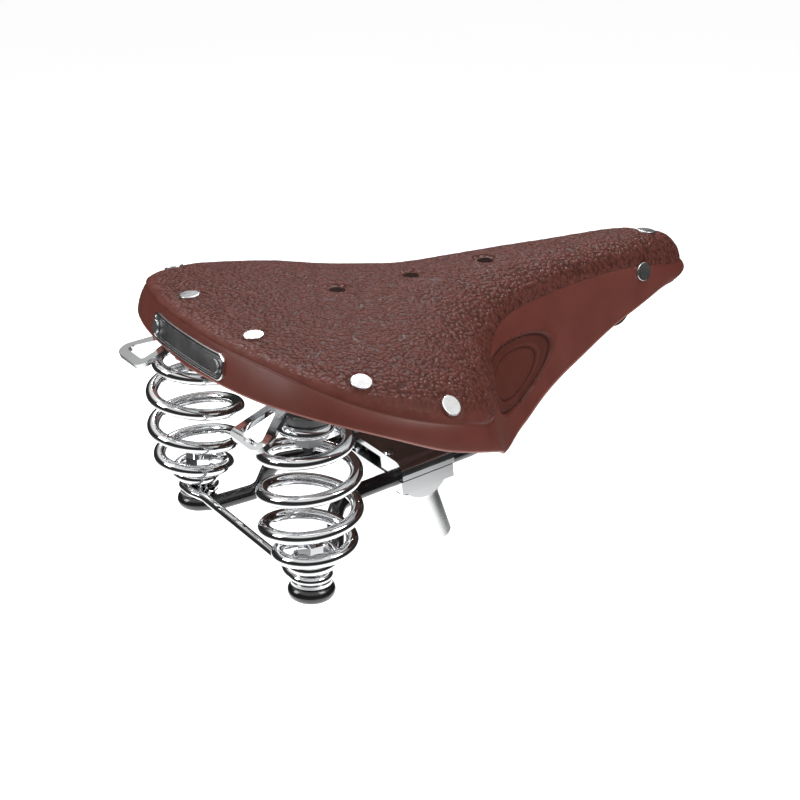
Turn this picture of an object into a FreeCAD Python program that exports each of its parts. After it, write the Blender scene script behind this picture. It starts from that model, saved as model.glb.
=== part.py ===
import FreeCAD, Part
import math
import os

# Bicycle saddle: a tensioned leather top on two coil springs and twin rails, with its seat-post clamp.
# Millimetres. +X points to the nose, +Y to the rider's left, +Z up.
# The origin is on the axis of the clamp's spigot, where the rim of the seat post meets the clamp head.

# ---- driving dimensions -------------------------------------------------------------------------
LEATHER_THICKNESS = 5.0
PLATE_GAP = 0.35              # the cantle plate lies this far under the leather
NOSE_PLATE_GAP = 0.8          # and the nose piece this far
PLATE_THICKNESS = 2.0

# Half outline of the leather, from the middle of the rear edge round to the nose tip.
# Each station: spine x, z; shoulder x, y, z; lower edge x, y, z; roundness power; skirt bulge.
STATIONS = [
    (-77.2, 100.4, -108.2, 0.0, 97.4, -110.2, 0.0, 80.8, 2.3, 0.8),
    (-76.2, 100.4, -107.2, 25.0, 96.9, -109.2, 27.0, 82.4, 2.3, 0.8),
    (-74.2, 100.6, -102.7, 47.0, 95.9, -106.2, 49.0, 83.0, 2.3, 0.8),
    (-69.2, 101.0, -94.7, 70.0, 92.9, -98.2, 71.5, 82.7, 2.4, 0.8),
    (-61.2, 101.4, -81.7, 86.0, 87.4, -84.7, 88.0, 80.0, 2.4, 0.8),
    (-51.2, 101.4, -65.7, 95.0, 81.9, -67.2, 97.0, 74.2, 2.3, 0.8),
    (-41.2, 101.4, -51.2, 98.0, 77.7, -51.7, 100.0, 68.2, 2.1, 0.8),
    (-31.2, 101.4, -38.2, 97.0, 74.0, -37.2, 99.5, 63.9, 2.0, 0.8),
    (-23.2, 101.4, -28.2, 92.5, 70.2, -25.2, 94.5, 59.4, 1.9, 0.8),
    (-16.2, 101.4, -20.2, 86.0, 68.1, -16.2, 87.2, 54.4, 1.85, 0.6),
    (-10.2, 101.4, -14.2, 79.0, 67.6, -9.7, 79.0, 49.3, 1.85, 0.4),
    (-5.2, 101.4, -9.2, 72.0, 68.6, -3.7, 73.0, 47.2, 1.85, 0.4),
    (0.8, 101.4, -2.7, 60.5, 71.9, 3.8, 66.0, 46.4, 1.85, 0.6),
    (8.8, 101.4, 3.8, 49.0, 77.6, 12.8, 58.0, 46.4, 1.85, 0.8),
    (16.8, 101.4, 11.3, 40.5, 82.6, 22.8, 50.0, 46.4, 1.9, 0.8),
    (25.8, 101.4, 21.8, 33.8, 86.6, 33.3, 41.8, 47.0, 2.0, 0.8),
    (38.8, 101.4, 37.8, 28.5, 88.4, 46.8, 33.0, 49.2, 2.2, 0.8),
    (54.8, 101.4, 54.8, 24.5, 89.2, 58.8, 28.0, 52.9, 2.4, 0.6),
    (72.8, 101.2, 72.8, 21.0, 90.0, 72.8, 24.8, 58.9, 2.5, 0.5),
    (88.8, 101.1, 88.8, 19.3, 90.4, 87.8, 22.0, 65.6, 2.5, 0.5),
    (102.8, 101.0, 102.8, 18.4, 89.9, 101.8, 19.8, 70.7, 2.5, 0.5),
    (113.8, 100.7, 115.8, 16.6, 88.0, 113.8, 17.4, 74.6, 2.4, 0.8),
    (118.8, 100.0, 128.8, 12.5, 85.7, 125.8, 13.0, 76.6, 1.9, 1.5),
    (121.8, 99.3, 138.3, 6.8, 84.2, 135.8, 7.0, 75.7, 1.9, 3.0),
    (122.8, 99.0, 142.8, 0.0, 83.4, 140.3, 0.0, 74.7, 1.9, 4.0),
]
CROWN_STEPS = 8               # points from the spine to the shoulder
SKIRT_STEPS = 4               # points from the shoulder to the lower edge
PLATE_BAND = slice(2, CROWN_STEPS + 3)   # the points of each half section that the steel plates cover
CANTLE_STATIONS = 9           # the steel cantle plate reaches this far round from the rear
NOSE_STATION = 19             # the nose piece starts here and runs to the tip

VENT_X = (-40.0, -4.0, 34.0)
VENT_RADIUS = 3.6

RIVET_HEAD_RADIUS = 4.2
RIVET_HEAD_HEIGHT = 0.5       # above the leather
RIVET_HEAD_DEPTH = 0.9        # let into the leather
RIVET_SHANK_RADIUS = 2.0
REAR_RIVETS = ((-94.0, 28.0), (-76.5, 80.0), (-46.3, 95.0))      # x and |y|
NOSE_SIDE_RIVET = (107.6, 18.3, 87.3)
NOSE_TOP_RIVET_X = 123.0

BADGE_LENGTH = 62.0
BADGE_HEIGHT = 10.6
BADGE_THICKNESS = 1.3
BADGE_CORNER = 3.8
BADGE_Z = 89.4
BADGE_RIVET_Y = 26.0
BADGE_RIVET_SHANK_RADIUS = 1.3

RAIL_RADIUS = 3.5
RAIL_Y = 22.0
RAIL_ANGLE = 6.5              # degrees nose-up where the clamp grips
RAIL_RING_Z = -3.9
RAIL_RING_RADIUS = 6.3        # to the middle of the rod
RAIL_RING_ARC = (10.0, 244.5)  # degrees, seen from above
CLAMP_CENTRE = (-13.0, 21.6)  # x and z of the rail line in the middle of the clamp
PIVOT = (97.3, 69.6)          # x and z of the shackle pin
PIN_RADIUS = 3.0
SHACKLE_HALF_WIDTH = 12.6
SHACKLE_LUG_RADIUS = 8.0
SHACKLE_RAIL_Y = 8.5
TENSION_ANGLE = 23.7          # degrees nose-up
TENSION_BOLT_LENGTH = 33.0
NOSE_WEB_DISTANCE = 26.0      # from the pin along the tension bolt
NOSE_WEB_OUTLINE = [(8.6, -4.6), (8.9, 6.0), (7.4, 11.0), (4.0, 14.8)]   # y and height, square to the bolt

SPRING_X = -83.0
SPRING_Y = 50.5
SPRING_WIRE = 5.2
SPRING_START = {-1: 241.0, 1: 245.0}   # degrees round each spring's axis where the count passes 0.6
# Turns counted from the bottom: turn, mean radius, height of the wire's centre.
SPRING_TURNS = [
    (0.15, 7.3, 7.45), (0.6, 7.5, 8.2), (1.0, 10.2, 10.6), (1.3, 12.8, 12.9), (1.6, 15.0, 15.4),
    (2.0, 17.4, 19.4), (2.6, 18.7, 28.2), (3.1, 18.8, 35.8), (3.6, 18.7, 43.7), (4.1, 18.5, 51.8),
    (4.6, 17.6, 59.4), (4.9, 15.0, 63.0), (5.2, 11.4, 65.6), (5.5, 8.2, 66.9), (6.0, 7.4, 66.9),
]
SPRING_POINTS_PER_TURN = 12
PAD_Z = 71.0                  # underside of the bracket pads
PAD_THICKNESS = 2.5
PAD_RADIUS = 10.6
BOLT_RADIUS = 2.7
TOP_WASHER_RADIUS = 9.2
TOP_WASHER_THICKNESS = 1.25
TIE_ROD_RADIUS = 2.0
TIE_ROD_RING_RADIUS = 6.9
TIE_ROD_X = -87.4

LOOP_THICKNESS = 2.2
LOOP_STRAP = 4.0
LOOP_WAIST = (-93.5, 40.2, 52.6)        # x where the strap bends down, inner |y| and outer |y|
LOOP_END = (20.6, 40.4, 67.6)           # distance down the slope, inner |y| and outer |y|
LOOP_DROOP = 22.3                       # degrees

SPIGOT_ANGLE = 19.9           # degrees from the vertical, bottom end forward
SPIGOT_RADIUS = 7.94          # 5/8 inch
SPIGOT_LENGTH = 25.0
HEAD_RADIUS = 10.0
EYE_RADIUS = 5.2
EYE_HALF_WIDTH = 6.4
PIVOT_BOLT_RADIUS = 2.5
RUNNING_GAP = 0.05


def vec(x, y, z):
    return FreeCAD.Vector(x, y, z)


def cylinder(radius, start, end):
    along = end - start
    return Part.makeCylinder(radius, along.Length, start, along)


def box(x0, x1, y0, y1, z0, z1):
    return Part.makeBox(x1 - x0, y1 - y0, z1 - z0, vec(x0, y0, z0))


def hexagon(across_flats, start, end, turn=0.0):
    """A hexagonal prism from start to end."""
    along = end - start
    side = vec(0, 1, 0) if abs(along.y) < 0.5 * along.Length else vec(1, 0, 0)
    first = along.cross(side).normalize()
    spin = FreeCAD.Rotation(along, turn)
    corners = []
    for k in range(7):
        turned = FreeCAD.Rotation(along, 60.0 * k).multVec(spin.multVec(first))
        corners.append(start + turned * (across_flats / math.sqrt(3.0)))
    return Part.Face(Part.makePolygon(corners)).extrude(along)


def mirrored(shape):
    return shape.mirror(vec(0, 0, 0), vec(0, 1, 0))


def fused(shapes):
    result = shapes[0].multiFuse(shapes[1:]) if len(shapes) > 1 else shapes[0]
    return result.removeSplitter()


def only_solid(shape):
    """The largest solid of a boolean result."""
    return max(shape.Solids, key=lambda s: s.Volume)


def save(name, *solids):
    shape = solids[0] if len(solids) == 1 else Part.makeCompound(list(solids))
    if len(shape.Solids) == 1:
        shape = shape.Solids[0]
    shape.exportStep("parts/" + name + ".step")


# ---- leather ------------------------------------------------------------------------------------
def section(station, depth):
    """Points of one half section, from the spine over the shoulder to the lower edge.

    depth is the distance under the outer surface; a negative depth lies outside it."""
    sx, sz, ex, ey, ez, lx, ly, lz, power, bulge = station
    outward = vec(ex - sx, ey, 0).normalize()
    # A shallow crown keeps most of its drop when sunk, so that the inner shoulder stays under the outer one.
    drop = max(0.6 * (sz - ez), sz - ez - depth)
    top = sz - depth
    shoulder = vec(ex, ey, top - drop) - outward * depth
    lower = vec(lx, ly, lz) - outward * depth
    points = []
    for k in range(CROWN_STEPS + 1):
        angle = 0.5 * math.pi * k / CROWN_STEPS
        reach = math.sin(angle) ** (2.0 / power)
        fall = 1.0 - math.cos(angle) ** (2.0 / power)
        points.append(vec(sx + (shoulder.x - sx) * reach, shoulder.y * reach, top - drop * fall))
    for k in range(1, SKIRT_STEPS + 1):
        t = k / SKIRT_STEPS
        points.append(shoulder + (lower - shoulder) * t + outward * (4.0 * bulge * t * (1.0 - t)))
    return points


def leather_grid(depth, first=0, last=None):
    last = len(STATIONS) - 1 if last is None else last
    return [section(STATIONS[i], depth) for i in range(first, last + 1)]


def both_sides(grid, shared_first):
    """A half grid and its mirror image as one grid, joined at the row on Y = 0."""
    other = [[vec(p.x, -p.y, p.z) for p in row] for row in grid]
    if shared_first:
        return other[:0:-1] + grid
    return grid + other[-2::-1]


def mean_spacing(lines):
    """Parameters from 0 to 1 that suit all the point lines at once."""
    steps = [0.0]
    for k in range(1, len(lines[0])):
        steps.append(steps[-1] + sum((line[k] - line[k - 1]).Length for line in lines))
    return [value / steps[-1] for value in steps]


def through(points, parameters):
    curve = Part.BSplineCurve()
    curve.interpolate(Points=points, Parameters=parameters)
    return curve


def smooth_surface(grid):
    """A B-spline surface through a grid of points, row by row and then across the rows."""
    across = mean_spacing(grid)
    along = mean_spacing([[row[k] for row in grid] for k in range(len(grid[0]))])
    rows = [through(row, across) for row in grid]
    columns = []
    for k in range(rows[0].NbPoles):
        columns.append(through([row.getPole(k + 1) for row in rows], along))
    poles = [[column.getPole(i + 1) for column in columns] for i in range(columns[0].NbPoles)]
    surface = Part.BSplineSurface()
    surface.buildFromPolesMultsKnots(
        poles, columns[0].getMultiplicities(), rows[0].getMultiplicities(),
        columns[0].getKnots(), rows[0].getKnots(), False, False, columns[0].Degree, rows[0].Degree)
    return surface


def edge_curve(points):
    curve = Part.BSplineCurve()
    curve.interpolate(points)
    return curve


def ruled(surface_a, surface_b, direction, at_end):
    """A ruled strip between matching borders of two surfaces."""
    curves = []
    for surface in (surface_a, surface_b):
        low_u, high_u, low_v, high_v = surface.bounds()
        if direction == "u":
            curves.append(surface.vIso(high_v if at_end else low_v))
        else:
            curves.append(surface.uIso(high_u if at_end else low_u))
    return Part.makeRuledSurface(curves[0].toShape(), curves[1].toShape())


def solid_between(outer_grid, inner_grid):
    """A closed skin between two matching point grids."""
    outer = smooth_surface(outer_grid)
    inner = smooth_surface(inner_grid)
    faces = [outer.toShape(), inner.toShape()]
    for direction in ("u", "v"):
        for at_end in (False, True):
            faces.append(ruled(outer, inner, direction, at_end))
    return sewn_solid(faces)


def sewn_solid(faces):
    shell = Part.makeCompound(faces)
    shell.sewShape(0.01)
    solid = Part.Solid(shell.Shells[0]) if shell.ShapeType == "Compound" else Part.Solid(shell)
    if solid.Volume < 0:
        solid.reverse()
    return solid


OUTER = smooth_surface(leather_grid(0.0))


def on_leather(point):
    """The nearest point of the outer surface and the outward direction there, for either side."""
    flip = -1.0 if point.y < 0 else 1.0
    u, v = OUTER.parameter(vec(point.x, abs(point.y), point.z))
    base = OUTER.value(u, v)
    out = OUTER.normal(u, v)
    if out.z < -0.3 or out.y < -0.2:
        out = -out
    return vec(base.x, base.y * flip, base.z), vec(out.x, out.y * flip, out.z).normalize()


def height_at(x, y):
    """Height of the leather's top over a point of the plan."""
    z = 110.0
    for _ in range(30):
        base, _out = on_leather(vec(x, y, z))
        z = z + 0.8 * (base.z - z)
    return z


def make_leather():
    faces = []
    inner = smooth_surface(leather_grid(LEATHER_THICKNESS))
    for face in (OUTER.toShape(), inner.toShape(), ruled(OUTER, inner, "u", True)):
        faces.append(face)
        faces.append(mirrored(face))
    return sewn_solid(faces)


def rivet_points():
    rear = []
    for x, y in REAR_RIVETS:
        for side in (-1, 1):
            rear.append(on_leather(vec(x, side * y, height_at(x, y))))
    nose = [on_leather(vec(NOSE_TOP_RIVET_X, 0, 98.8))]
    for side in (-1, 1):
        x, y, z = NOSE_SIDE_RIVET
        nose.append(on_leather(vec(x, side * y, z)))
    nose[0] = (nose[0][0], vec(0.12, 0, 1).normalize())
    badge = [on_leather(vec(-108.5, side * BADGE_RIVET_Y, BADGE_Z)) for side in (-1, 1)]
    return rear, nose, badge


def rivet(base, out, depth):
    """A flat-headed rivet whose head beds on the surface and whose tail is spread underneath."""
    head_top = base + out * RIVET_HEAD_HEIGHT
    head = cylinder(RIVET_HEAD_RADIUS, base - out * RIVET_HEAD_DEPTH, head_top)
    rim = [edge for edge in head.Edges if edge.CenterOfMass.distanceToPoint(head_top) < 0.05]
    head = head.makeFillet(0.7 * RIVET_HEAD_HEIGHT, rim)
    shank = cylinder(RIVET_SHANK_RADIUS, base - out * (depth + 1.0), base)
    tail = cylinder(RIVET_SHANK_RADIUS + 1.2, base - out * (depth + 1.4), base - out * (depth + 0.3))
    return only_solid(fused([head, shank, tail]))


# ---- wire work ----------------------------------------------------------------------------------
def bent_path(points, bend_radii):
    """Straight runs joined by arcs at the inner points."""
    edges = []
    start = points[0]
    for k in range(1, len(points) - 1):
        before = (points[k - 1] - points[k]).normalize()
        after = (points[k + 1] - points[k]).normalize()
        half_angle = 0.5 * before.getAngle(after)
        radius = bend_radii[k - 1]
        setback = radius / math.tan(half_angle)
        arc_start = points[k] + before * setback
        arc_end = points[k] + after * setback
        centre = points[k] + (before + after).normalize() * (radius / math.sin(half_angle))
        middle = centre + (points[k] - centre).normalize() * radius
        if (arc_start - start).Length > 1e-3:
            edges.append(Part.makeLine(start, arc_start))
        edges.append(Part.Arc(arc_start, middle, arc_end).toShape())
        start = arc_end
    edges.append(Part.makeLine(start, points[-1]))
    return Part.Wire(edges)


def round_sweep(path, radius):
    first = path.Edges[0]
    start = first.valueAt(first.FirstParameter)
    along = first.tangentAt(first.FirstParameter)
    ring = Part.Wire(Part.makeCircle(radius, start, along))
    return path.makePipeShell([ring], True, False)


def blended(table, t):
    """Smooth value of each column of a table at t, whose first column is rising."""
    last = len(table) - 1
    k = 0
    while k < last - 1 and t > table[k + 1][0]:
        k += 1
    p0, p1, p2, p3 = table[max(k - 1, 0)], table[k], table[k + 1], table[min(k + 2, last)]
    span = p2[0] - p1[0]
    f = (t - p1[0]) / span
    values = []
    for c in (1, 2):
        slope1 = (p2[c] - p0[c]) / (p2[0] - p0[0]) * span
        slope2 = (p3[c] - p1[c]) / (p3[0] - p1[0]) * span
        rise = p2[c] - p1[c]
        squared = 3.0 * rise - 2.0 * slope1 - slope2
        cubed = slope1 + slope2 - 2.0 * rise
        values.append(p1[c] + slope1 * f + squared * f ** 2 + cubed * f ** 3)
    return values


def make_spring(side):
    """A barrel spring; the right one (side -1) is wound right-handed and the left one left-handed."""
    first = SPRING_TURNS[0][0]
    last = SPRING_TURNS[-1][0]
    count = int(round((last - first) * SPRING_POINTS_PER_TURN))
    points = []
    for k in range(count + 1):
        turn = first + (last - first) * k / count
        radius, height = blended(SPRING_TURNS, turn)
        angle = math.radians(SPRING_START[side] - side * 360.0 * (turn - 0.6))
        across = side * SPRING_Y + radius * math.sin(angle)
        points.append(vec(SPRING_X + radius * math.cos(angle), across, height))
    path = Part.Wire(edge_curve(points).toShape())
    return round_sweep(path, 0.5 * SPRING_WIRE)


# ---- clamp frame: along the rails, across, and square to the rails ---------------------------------
def in_clamp(shape):
    shape = shape.copy()
    shape.rotate(vec(0, 0, 0), vec(0, 1, 0), -RAIL_ANGLE)
    shape.translate(vec(CLAMP_CENTRE[0], 0, CLAMP_CENTRE[1]))
    return shape


def rail_point(distance, side, rise=0.0):
    angle = math.radians(RAIL_ANGLE)
    x = CLAMP_CENTRE[0] + distance * math.cos(angle) - rise * math.sin(angle)
    z = CLAMP_CENTRE[1] + distance * math.sin(angle) + rise * math.cos(angle)
    return vec(x, side * RAIL_Y, z)


def make_rail():
    """The left rail, from the open ring round the spring bolt to the shackle."""
    centre = vec(SPRING_X, SPRING_Y, RAIL_RING_Z)
    start, end = (math.radians(a) for a in RAIL_RING_ARC)
    ring_points = []
    for angle in (start, 0.5 * (start + end), end):
        ring_points.append(centre + vec(math.cos(angle), math.sin(angle), 0) * RAIL_RING_RADIUS)
    leaving = vec(-math.sin(end), math.cos(end), 0)
    corners = [
        ring_points[2],
        ring_points[2] + leaving * 8.0,
        vec(-61.5, 33.5, 1.0),
        vec(-58.5, 27.0, 16.6),
        rail_point(-26.0, 1) + vec(-6.0, 0.0, -0.7),
        rail_point(25.0, 1) + vec(4.0, 0.0, 0.5),
        vec(80.0, SHACKLE_RAIL_Y, 58.6),
        vec(PIVOT[0] - 6.0, SHACKLE_RAIL_Y, PIVOT[1] - 2.5),
    ]
    tail = bent_path(corners, (20.0, 8.0, 8.0, 20.0, 20.0, 40.0))
    path = Part.Wire([Part.Arc(*ring_points).toShape()] + tail.Edges)
    return round_sweep(path, RAIL_RADIUS)


def make_shackle(rails):
    """Fork at the front of the rails, open towards the nose, bored across for its pin."""
    x, z = PIVOT
    lug = cylinder(SHACKLE_LUG_RADIUS, vec(x, -SHACKLE_HALF_WIDTH, z), vec(x, SHACKLE_HALF_WIDTH, z))
    tail = box(x - 14.0, x, -SHACKLE_HALF_WIDTH, SHACKLE_HALF_WIDTH, z - SHACKLE_LUG_RADIUS, z + 4.5)
    body = fused([lug, tail])
    body = body.cut(box(x - 7.5, x + 12.0, -4.4, 4.4, z - 12.0, z + 12.0))
    body = body.cut(cylinder(PIN_RADIUS, vec(x, -20, z), vec(x, 20, z)))
    for rail in rails:
        body = body.cut(rail)
    return only_solid(body)


def make_clamp():
    """Lower and upper cradles, screws and cross bolt, made about the middle of the clamp."""
    half = 13.0
    lower = [box(-half, half, -27.5, 27.5, -6.5, -0.7)]
    for side in (-1, 1):
        low, high = sorted((side * 18.0, side * 25.0))
        disc = cylinder(12.5, vec(0, low, 0), vec(0, high, 0))
        lower.append(disc.common(box(-half, half, -30, 30, -14, -0.7)))
    lower = fused(lower)
    lower = lower.cut(box(-6.0, half + 1.0, -6.9, 6.9, -20, 10))
    for side in (-1, 1):
        low, high = sorted((side * 11.2, side * 17.2))
        lower = lower.cut(box(-5.8, 5.8, low, high, -20, 10))
        low, high = sorted((side * 7.2, side * 11.2))
        ear = cylinder(5.0, vec(0, low, 0), vec(0, high, 0))
        foot = box(-5.0, 5.0, low, high, -6.5, 0.0)
        lower = lower.fuse(ear.fuse(foot))
    lower = lower.cut(cylinder(PIVOT_BOLT_RADIUS, vec(0, -20, 0), vec(0, 20, 0))).removeSplitter()

    upper = box(-half, half, -29.0, 29.0, 0.7, 8.4)
    rolled = []
    for edge in upper.Edges:
        middle = edge.CenterOfMass
        if abs(middle.x) < 0.01 and abs(abs(middle.y) - 29.0) < 0.01 and abs(middle.z - 8.4) < 0.01:
            rolled.append(edge)
    upper = upper.makeFillet(5.5, rolled)
    upper = upper.cut(box(-half - 1, half + 1, -11.4, 11.4, -1, 5.8))
    for side in (-1, 1):
        low, high = sorted((side * 11.2, side * 17.2))
        upper = upper.cut(box(-5.8, 5.8, low, high, -1, 5.8))
    screws = []
    for u in (-9.4, 9.4):
        for side in (-1, 1):
            v = side * 14.2
            shank = cylinder(1.6, vec(u, v, -6.5), vec(u, v, 7.0))
            head = cylinder(2.9, vec(u, v, 6.4), vec(u, v, 8.9))
            socket = hexagon(2.5, vec(u, v, 7.4), vec(u, v, 9.5))
            upper = upper.cut(cylinder(2.9, vec(u, v, 6.4), vec(u, v, 9.5)))
            upper = upper.cut(cylinder(1.6, vec(u, v, -8), vec(u, v, 9.5)))
            lower = lower.cut(cylinder(1.6, vec(u, v, -8), vec(u, v, 9.5)))
            screws.append(shank.fuse(head).removeSplitter().cut(socket))
    for side in (-1, 1):
        groove = cylinder(RAIL_RADIUS + RUNNING_GAP, vec(-20, side * RAIL_Y, 0), vec(20, side * RAIL_Y, 0))
        lower = lower.cut(groove)
        upper = upper.cut(groove)
    bolt = fused([
        cylinder(PIVOT_BOLT_RADIUS, vec(0, -17.0, 0), vec(0, 14.8, 0)),
        hexagon(8.0, vec(0, 12.2, 0), vec(0, 15.4, 0)),
    ])
    nut = hexagon(8.0, vec(0, -16.0, 0), vec(0, -12.2, 0)).cut(
        cylinder(PIVOT_BOLT_RADIUS, vec(0, -20, 0), vec(0, 0, 0)))
    washers = []
    for low, high in ((-12.2, -11.2), (11.2, 12.2)):
        ring = cylinder(5.0, vec(0, low, 0), vec(0, high, 0))
        washers.append(ring.cut(cylinder(PIVOT_BOLT_RADIUS, vec(0, low - 1, 0), vec(0, high + 1, 0))))
    return lower, upper, screws, bolt, nut, washers


def make_post_head():
    """Spigot and neck of the post, ending in the eye that carries the clamp."""
    angle = math.radians(SPIGOT_ANGLE)
    down = vec(math.sin(angle), 0, -math.cos(angle))
    eye_centre = vec(CLAMP_CENTRE[0], 0, CLAMP_CENTRE[1])
    spigot = cylinder(SPIGOT_RADIUS, vec(0, 0, 0), down * SPIGOT_LENGTH)
    shoulder = cylinder(HEAD_RADIUS, vec(0, 0, 0), down * -4.0)
    eye = cylinder(EYE_RADIUS, eye_centre - vec(0, EYE_HALF_WIDTH, 0), eye_centre + vec(0, EYE_HALF_WIDTH, 0))
    foot = down * -3.0
    to_eye = eye_centre - foot
    square = vec(to_eye.z, 0, -to_eye.x).normalize()
    outline = [foot - square * 7.5, foot + square * 7.5, eye_centre + square * 5.0 - to_eye * 0.15,
               eye_centre - square * 5.0 - to_eye * 0.15]
    outline = [p - vec(0, EYE_HALF_WIDTH, 0) for p in outline]
    neck = Part.Face(Part.makePolygon(outline + [outline[0]])).extrude(vec(0, 2 * EYE_HALF_WIDTH, 0))
    neck_top = cylinder(5.0, eye_centre - vec(0, EYE_HALF_WIDTH, 0) - to_eye * 0.15,
                        eye_centre + vec(0, EYE_HALF_WIDTH, 0) - to_eye * 0.15)
    body = fused([spigot, shoulder, neck, neck_top, eye])
    bore = cylinder(PIVOT_BOLT_RADIUS + RUNNING_GAP, eye_centre - vec(0, 10, 0), eye_centre + vec(0, 10, 0))
    return only_solid(body.cut(bore))


def along_tension(distance):
    angle = math.radians(TENSION_ANGLE)
    return vec(PIVOT[0] + distance * math.cos(angle), 0, PIVOT[1] + distance * math.sin(angle))


def make_tensioner():
    """The web across the nose piece, the eye bolt that pushes it forward, and the bolt's nut."""
    outline = [vec(0, y, z) for y, z in NOSE_WEB_OUTLINE]
    outline += [vec(0, -y, z) for y, z in reversed(NOSE_WEB_OUTLINE)]
    web = Part.Face(Part.makePolygon(outline + [outline[0]])).extrude(vec(3.0, 0, 0))
    web.rotate(vec(0, 0, 0), vec(0, 1, 0), -TENSION_ANGLE)
    web.translate(along_tension(NOSE_WEB_DISTANCE))
    x, z = PIVOT
    eye = cylinder(5.5, vec(x, -4.0, z), vec(x, 4.0, z))
    rod = cylinder(PIN_RADIUS, along_tension(0.0), along_tension(TENSION_BOLT_LENGTH))
    bolt = fused([eye, rod]).cut(cylinder(PIN_RADIUS + RUNNING_GAP, vec(x, -9, z), vec(x, 9, z)))
    web = web.cut(cylinder(PIN_RADIUS, along_tension(10.0), along_tension(50.0)))
    nut = hexagon(10.0, along_tension(NOSE_WEB_DISTANCE - 5.0), along_tension(NOSE_WEB_DISTANCE))
    nut = nut.cut(cylinder(PIN_RADIUS, along_tension(10.0), along_tension(50.0)))
    return web, only_solid(bolt), nut


def slab(corners, thickness):
    """A flat plate on the XY plane, from its corners in order."""
    points = [vec(x, y, 0) for x, y in corners]
    return Part.Face(Part.makePolygon(points + [points[0]])).extrude(vec(0, 0, thickness))


def rounded_end(plate, x, radius):
    """Rounds the upright edges of a plate at one x."""
    upright = [e for e in plate.Edges if abs(e.BoundBox.XMin - x) < 0.01 and e.BoundBox.YLength < 0.01]
    return plate.makeFillet(radius, [e for e in upright if e.BoundBox.ZLength > 0.5])


def make_bag_loop():
    """The left bag loop: a plate under the bolt head and a flat strap frame that droops behind it."""
    y = SPRING_Y
    z = PAD_Z + PAD_THICKNESS
    waist_x, waist_in, waist_out = LOOP_WAIST
    reach, end_in, end_out = LOOP_END
    inner_end = LOOP_STRAP - reach
    frame = slab([(1.0, waist_in), (-reach, end_in), (-reach, end_out), (1.0, waist_out)], LOOP_THICKNESS)
    window = slab([(-2.0, waist_in + LOOP_STRAP), (inner_end, end_in + LOOP_STRAP),
                   (inner_end, end_out - LOOP_STRAP - 2.4), (-2.0, waist_out - LOOP_STRAP)], LOOP_THICKNESS)
    frame = rounded_end(frame, -reach, 4.5).cut(rounded_end(window, inner_end, 1.6))
    frame.rotate(vec(0, 0, 0), vec(0, 1, 0), -LOOP_DROOP)
    frame.translate(vec(waist_x, 0, z))
    tail = slab([(waist_x, waist_in), (SPRING_X, y - 8.5), (SPRING_X, y + 8.5), (waist_x, waist_out)],
                LOOP_THICKNESS)
    tail.translate(vec(0, 0, z))
    ring = cylinder(9.4, vec(SPRING_X, y, z), vec(SPRING_X, y, z + LOOP_THICKNESS))
    hole = cylinder(BOLT_RADIUS, vec(SPRING_X, y, z - 1.0), vec(SPRING_X, y, z + 8.0))
    return only_solid(fused([frame, tail, ring]).cut(hole))


def make_top_hardware(side):
    """Bolt, nut and washer that hold the top of one spring against its pad."""
    x, y = SPRING_X, side * SPRING_Y
    seat = PAD_Z + PAD_THICKNESS + LOOP_THICKNESS
    bolt = fused([
        cylinder(BOLT_RADIUS, vec(x, y, 57.0), vec(x, y, seat + 1.0)),
        hexagon(8.5, vec(x, y, seat), vec(x, y, seat + 3.6)),
    ])
    hole = cylinder(BOLT_RADIUS, vec(x, y, 50.0), vec(x, y, 90.0))
    washer = cylinder(TOP_WASHER_RADIUS, vec(x, y, PAD_Z - TOP_WASHER_THICKNESS), vec(x, y, PAD_Z)).cut(hole)
    nut = fused([
        cylinder(8.0, vec(x, y, 63.2), vec(x, y, 64.2)),
        hexagon(10.0, vec(x, y, 60.0), vec(x, y, 63.2)),
    ]).cut(hole)
    return bolt, nut, washer


def make_bottom_hardware(side):
    """Bolt, nut and washer that hold the bottom of one spring, the tie rod and the rail ring together."""
    x, y = SPRING_X, side * SPRING_Y
    under = RAIL_RING_Z - RAIL_RADIUS
    dome = Part.makeSphere(9.0, vec(x, y, under + 6.4)).common(
        cylinder(8.0, vec(x, y, under - 4.0), vec(x, y, under)))
    bolt = fused([dome, cylinder(BOLT_RADIUS, vec(x, y, under - 1.0), vec(x, y, 20.5))])
    hole = cylinder(BOLT_RADIUS, vec(x, y, -20.0), vec(x, y, 30.0))
    nut = fused([
        cylinder(7.0, vec(x, y, 11.4), vec(x, y, 12.6)),
        hexagon(10.0, vec(x, y, 12.6), vec(x, y, 16.6)),
    ]).cut(hole)
    washer = cylinder(8.4, vec(x, y, RAIL_RING_Z + RAIL_RADIUS), vec(x, y, 0.8)).cut(hole)
    return bolt, nut, washer


def make_tie_rod():
    """One wire from ring to ring under the bottoms of the springs."""
    ring_z = 0.8 + TIE_ROD_RADIUS
    centre = vec(SPRING_X, SPRING_Y, ring_z)
    start = math.radians(-70.0)
    end = math.radians(180.0)
    ring_points = []
    for angle in (start, 0.5 * (start + end), end):
        ring_points.append(centre + vec(math.cos(angle), math.sin(angle), 0) * TIE_ROD_RING_RADIUS)
    ring = Part.Arc(*ring_points).toShape()
    right = [vec(p.x, -p.y, p.z) for p in reversed(ring_points)]
    ring_right = Part.Arc(*right).toShape()
    middle = [
        ring_points[2],
        vec(ring_points[2].x, 44.0, ring_z),
        vec(TIE_ROD_X, 36.0, ring_z),
        vec(TIE_ROD_X, -36.0, ring_z),
        vec(ring_points[2].x, -44.0, ring_z),
        right[0],
    ]
    across = bent_path(middle, (12.0, 12.0, 12.0, 12.0))
    return round_sweep(Part.Wire([ring] + across.Edges + [ring_right]), TIE_ROD_RADIUS)


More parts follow.
